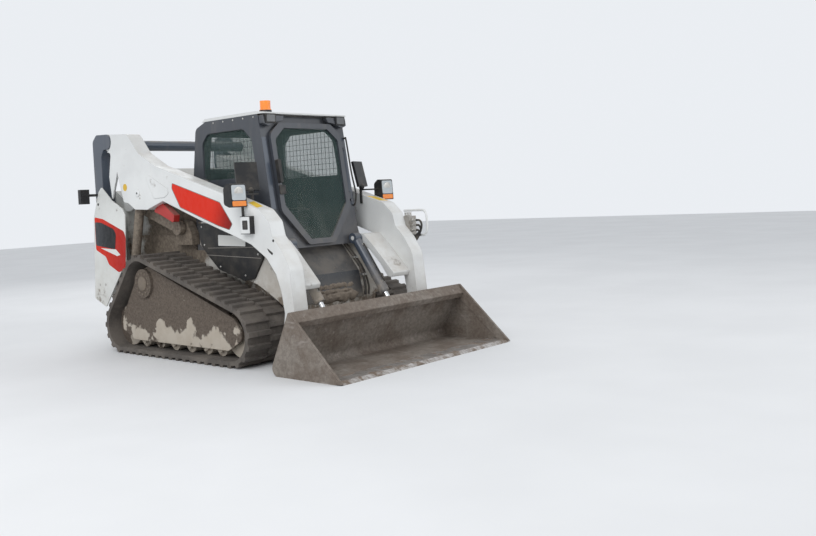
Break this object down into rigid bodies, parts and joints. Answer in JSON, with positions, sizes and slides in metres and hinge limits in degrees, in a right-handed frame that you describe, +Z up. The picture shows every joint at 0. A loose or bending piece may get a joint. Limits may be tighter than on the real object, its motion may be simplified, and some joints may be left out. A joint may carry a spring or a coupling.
{
  "type": "compact track loader",
  "caption": "Compact loader on rubber tracks, with a cab, a vertical-lift pair of arms and a wide bucket; the arms, bucket, door and tailgate move.",
  "frame": {"origin": "on the ground under the machine, half way between its tail and the bucket tip", "axes": "+X forward to the bucket, +Y to the machine's left, +Z up"},
  "size_m": [3.81, 2.032, 2.1813],
  "materials": {
    "cream": "satin off-white paint, scuffed",
    "arm_white": "satin white paint, scuffed",
    "dusty_cream": "off-white paint under dry mud",
    "dark_hood": "faded dark paint",
    "engine_grey": "oily cast metal",
    "black_cover": "matt black",
    "cab_black": "satin dark grey paint",
    "window_glass": "clear, faintly green",
    "seat_cloth": "dark woven cloth",
    "grey_plastic": "textured grey",
    "track_rubber": "dusty rubber",
    "track_frame": "dark paint under mud",
    "amber": "clear amber",
    "blue_grey": "dark blue-grey paint",
    "dirty_steel": "dirty zinc-plated steel",
    "safety_red": "red paint, scuffed",
    "rod_chrome": "polished",
    "bucket_steel": "rusty brown steel, paint worn off",
    "worn_steel": "bright worn steel"
  },
  "bodies": {
    "root": {"main_frame": "dusty_cream", "upright_right": "cream", "upright_left": "cream", "upright_covers": "cream", "engine_block": "engine_grey", "hood": "dark_hood", "side_covers": "black_cover", "cab_frame": "cab_black", "cab_roof": "cab_black", "cab_windows": "window_glass", "cab_floor": "cab_black", "seat": "seat_cloth", "control_pods": "grey_plastic", "front_panel": "cab_black", "track_right": "track_rubber", "track_left": "track_rubber", "undercarriage_right": "track_frame", "undercarriage_left": "track_frame", "wheels_right": "track_frame", "wheels_left": "track_frame", "beacon": "amber", "roof_lamps": "black_cover", "rear_lamps": "black_cover"},
    "rear_link": {"rear_links": "blue_grey"},
    "lift_arm": {"arm_right": "arm_white", "arm_left": "arm_white", "cross_tube": "blue_grey", "arm_lamps": "black_cover", "mirrors": "black_cover", "coupler_block": "dirty_steel", "guard_loop": "arm_white", "arm_support": "safety_red"},
    "front_link": {"control_links": "cream"},
    "lift_barrel": {"lift_barrels": "blue_grey"},
    "lift_rod": {"lift_rods": "rod_chrome"},
    "bucket": {"quick_coupler": "dusty_cream", "bucket_shell": "bucket_steel", "cutting_edge": "worn_steel"},
    "tilt_barrel": {"tilt_barrels": "blue_grey"},
    "tilt_rod": {"tilt_rods": "rod_chrome"},
    "door": {"door_frame": "cab_black", "door_glass": "window_glass", "door_handle": "black_cover"},
    "tailgate": {"tailgate": "cream"}
  },
  "joints": [
    {"name": "rear_link_swing", "type": "hinge", "parent": "root", "child": "rear_link", "pos_m": [-1.614, 0, 0.616], "axis": [0, -1, 0], "range_deg": [0, 2.02]},
    {"name": "arm_lift", "type": "hinge", "parent": "rear_link", "child": "lift_arm", "pos_m": [-1.44, 0, 1.965], "axis": [0, -1, 0], "range_deg": [0, 59.06]},
    {"name": "front_link_swing", "type": "hinge", "parent": "root", "child": "front_link", "pos_m": [-0.557, 0, 1.117], "axis": [0, -1, 0], "range_deg": [-47.05, 0]},
    {"name": "lift_cylinder_swing", "type": "hinge", "parent": "root", "child": "lift_barrel", "pos_m": [-1.216, 0, 0.506], "axis": [0, -1, 0], "range_deg": [-0.1943, 0]},
    {"name": "lift_rod_slide", "type": "slide", "parent": "lift_barrel", "child": "lift_rod", "axis": [0.245, 0, 0.9695], "range_m": [0, 0.7012]},
    {"name": "bucket_tilt", "type": "hinge", "parent": "lift_arm", "child": "bucket", "pos_m": [1.085, 0, 0.19], "axis": [0, -1, 0], "range_deg": [-103, 25]},
    {"name": "tilt_cylinder_swing", "type": "hinge", "parent": "lift_arm", "child": "tilt_barrel", "pos_m": [0.71, 0, 0.95], "axis": [0, -1, 0], "range_deg": [-1.74, 0.46]},
    {"name": "tilt_rod_slide", "type": "slide", "parent": "tilt_barrel", "child": "tilt_rod", "axis": [0.5725, 0, -0.8199], "range_m": [-0.0696, 0.2851]},
    {"name": "cab_door", "type": "hinge", "parent": "root", "child": "door", "pos_m": [0.68242, 0.436, 0.90792], "axis": [-0.1392, 0, 0.9903], "range_deg": [0, 88]},
    {"name": "tailgate_swing", "type": "hinge", "parent": "root", "child": "tailgate", "pos_m": [-1.8, 0.463, 0.9], "axis": [0, 0, -1], "range_deg": [0, 90]}
  ],
  "couplings": [
    {"joint": "rear_link_swing", "follows": "arm_lift", "ratio": 0.033291},
    {"joint": "front_link_swing", "follows": "arm_lift", "ratio": -0.79573},
    {"joint": "lift_cylinder_swing", "follows": "arm_lift", "ratio": -0.002443},
    {"joint": "lift_rod_slide", "follows": "arm_lift", "m_per_rad": 0.67974},
    {"joint": "tilt_cylinder_swing", "follows": "bucket_tilt", "ratio": 0.016434},
    {"joint": "tilt_rod_slide", "follows": "bucket_tilt", "m_per_rad": -0.15829}
  ]
}
